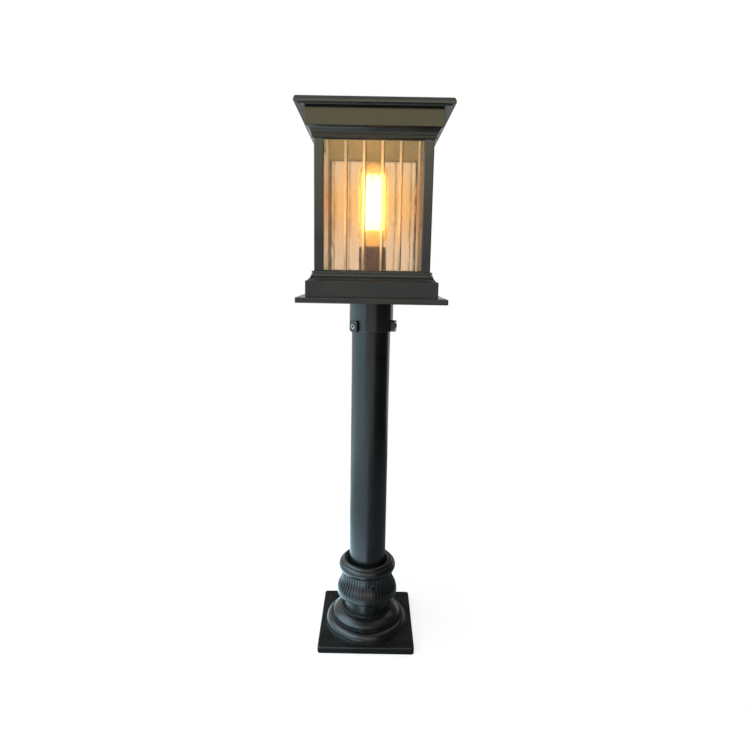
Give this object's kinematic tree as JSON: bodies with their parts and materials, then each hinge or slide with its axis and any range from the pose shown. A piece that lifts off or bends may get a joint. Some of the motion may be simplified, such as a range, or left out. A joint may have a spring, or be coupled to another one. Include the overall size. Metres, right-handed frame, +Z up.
{
  "type": "garden post light",
  "caption": "Square lantern with ribbed glass panes and a screw-in bulb on a round post, with a fluted collar and a square foot cover over its anchor plate.",
  "frame": {"origin": "on the ground, on the axis of the post", "axes": "+Z up along the post, -Y towards the front, +X to the right seen from the front"},
  "size_m": [0.21, 0.21, 0.8293],
  "materials": {
    "satin_paint": "satin dark grey paint on cast aluminium",
    "tube_paint": "satin dark grey paint on steel tube",
    "galvanised_steel": "galvanised",
    "pane_glass": "warm tinted ribbed pressed glass",
    "screw_steel": "zinc plated",
    "black_screw_steel": "black oxide",
    "seal_rubber": "matt",
    "holder_plastic": "moulded phenolic",
    "holder_ceramic": "unglazed",
    "brass": "drawn",
    "cap_nickel": "nickel plated",
    "insulator_glass": "black vitrite",
    "amber_glass": "amber tinted blown glass",
    "stem_glass": "clear",
    "support_wire": "drawn wire",
    "glowing_filament": "lit filament",
    "block_plastic": "moulded",
    "brown_lead": "sleeved wire",
    "blue_lead": "sleeved wire",
    "green_lead": "sleeved wire"
  },
  "bodies": {
    "post": {"post_tube": "tube_paint", "anchor_plate": "galvanised_steel"},
    "foot": {"foot_cover": "satin_paint"},
    "collar": {"fluted_collar": "satin_paint"},
    "foot_screw": {"foot_set_screw": "black_screw_steel"},
    "collar_screw": {"collar_set_screw": "black_screw_steel"},
    "lantern": {"slip_fitter": "satin_paint", "slip_fitter_screws": "screw_steel", "floor_plate": "satin_paint", "lower_moulding": "satin_paint", "lower_frame_screws": "screw_steel", "lower_pane_seals": "seal_rubber", "corner_post_front_left": "satin_paint", "corner_post_front_right": "satin_paint", "corner_post_rear_left": "satin_paint", "corner_post_rear_right": "satin_paint", "pane_front": "pane_glass", "pane_left": "pane_glass", "pane_right": "pane_glass", "pane_rear": "pane_glass", "lampholder_body": "holder_plastic", "lampholder_shell": "brass", "lampholder_disc": "holder_ceramic", "lampholder_contact": "brass", "lampholder_nipple": "brass", "lampholder_nut": "brass", "terminal_block": "block_plastic", "terminal_screws": "screw_steel", "live_lead": "brown_lead", "neutral_lead": "blue_lead", "earth_lead": "green_lead", "earth_pillar": "brass", "earth_screw": "screw_steel"},
    "clamp_left": {"clamp_screw_left": "screw_steel"},
    "clamp_right": {"clamp_screw_right": "screw_steel"},
    "clamp_rear": {"clamp_screw_rear": "screw_steel"},
    "roof": {"roof_plate": "satin_paint", "roof_gasket": "seal_rubber", "upper_moulding": "satin_paint", "roof_screws": "screw_steel", "upper_pane_seals": "seal_rubber"},
    "bulb_end": {"bulb_tip": "cap_nickel"},
    "bulb": {"bulb_insulator": "insulator_glass", "bulb_cap": "cap_nickel", "bulb_envelope": "amber_glass", "bulb_stem": "stem_glass", "bulb_wires": "support_wire", "bulb_filaments": "glowing_filament"}
  },
  "joints": [
    {"name": "foot_lift", "type": "slide", "parent": "post", "child": "foot", "axis": [0, 0, 1], "range_m": [0, 0.12]},
    {"name": "collar_lift", "type": "slide", "parent": "foot", "child": "collar", "axis": [0, 0, 1], "range_m": [0, 0.12]},
    {"name": "foot_screw_out", "type": "slide", "parent": "foot", "child": "foot_screw", "axis": [0.454, -0.891, 0], "range_m": [0, 0.005]},
    {"name": "collar_screw_out", "type": "slide", "parent": "collar", "child": "collar_screw", "axis": [0.2924, -0.9563, 0], "range_m": [0, 0.005]},
    {"name": "lantern_swivel", "type": "hinge", "parent": "post", "child": "lantern", "pos_m": [0, 0, 0.5333], "axis": [0, 0, 1], "range_deg": [-180, 180]},
    {"name": "clamp_left_out", "type": "slide", "parent": "lantern", "child": "clamp_left", "axis": [-0.7009, -0.7133, 0], "range_m": [0, 0.006]},
    {"name": "clamp_right_out", "type": "slide", "parent": "lantern", "child": "clamp_right", "axis": [0.9681, -0.2504, 0], "range_m": [0, 0.006]},
    {"name": "clamp_rear_out", "type": "slide", "parent": "lantern", "child": "clamp_rear", "axis": [-0.2672, 0.9636, 0], "range_m": [0, 0.006]},
    {"name": "roof_lift", "type": "slide", "parent": "lantern", "child": "roof", "axis": [0, 0, 1], "range_m": [0, 0.15]},
    {"name": "bulb_rise", "type": "slide", "parent": "lantern", "child": "bulb_end", "axis": [0, 0, 1], "range_m": [0, 0.0109]},
    {"name": "bulb_turn", "type": "hinge", "parent": "bulb_end", "child": "bulb", "pos_m": [0, 0, 0.626], "axis": [0, 0, 1], "range_deg": [0, 1080]}
  ],
  "couplings": [
    {"joint": "bulb_rise", "follows": "bulb_turn", "m_per_rad": 0.00057757}
  ]
}
